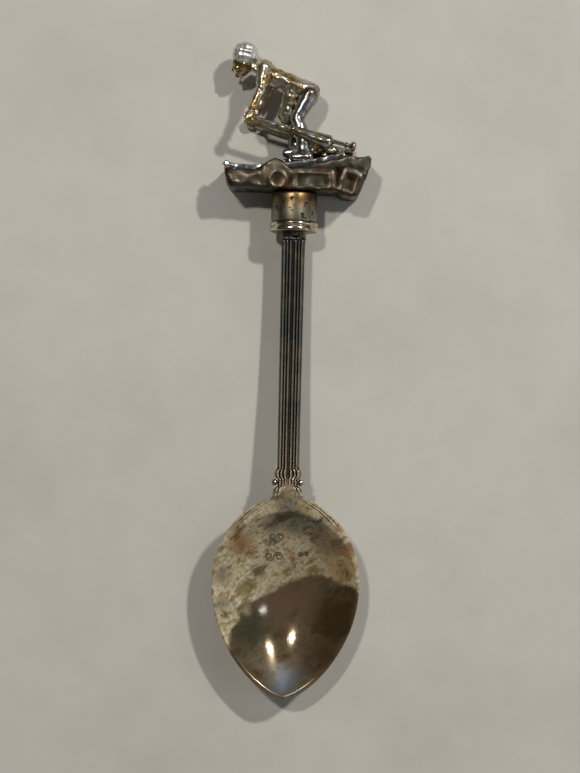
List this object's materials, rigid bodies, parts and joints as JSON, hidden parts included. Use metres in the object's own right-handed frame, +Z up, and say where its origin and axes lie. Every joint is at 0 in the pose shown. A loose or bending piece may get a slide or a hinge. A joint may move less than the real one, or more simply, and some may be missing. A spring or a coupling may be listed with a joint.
{
  "type": "souvenir spoon",
  "caption": "Small silver-plated souvenir spoon with a reeded stem and a cast finial of a crouching downhill skier on a rocky ledge.",
  "frame": {"origin": "centre of the spoon's length and width, on the plane it lies on", "axes": "+Y from the bowl's tip to the skier's cap, +X to the right seen from above, +Z up out of the open bowl"},
  "size_m": [0.0275, 0.12, 0.009],
  "materials": {
    "bowl_plate": "tarnished silver plate, polished under the stains",
    "stem_plate": "silver plate darkened in the grooves",
    "gilt_plate": "worn plate with a yellow cast",
    "solder": "dull lumpy solder",
    "cast_metal": "plated casting, bright on its high points and dark in its hollows"
  },
  "bodies": {
    "root": {"bowl": "bowl_plate", "stem": "stem_plate", "shoulder_beads": "stem_plate", "solder_fillet": "solder", "collar_floor": "stem_plate", "collar_drum": "gilt_plate", "collar_rim": "bowl_plate", "finial_peg": "solder", "rock_ledge": "cast_metal", "snow_spray": "cast_metal", "near_ski": "cast_metal", "far_ski": "cast_metal", "skier_torso": "cast_metal", "skier_legs": "cast_metal", "skier_head": "cast_metal", "skier_cap": "cast_metal", "near_arm": "cast_metal", "far_arm": "cast_metal", "near_pole": "cast_metal", "far_pole": "cast_metal"}
  },
  "joints": []
}
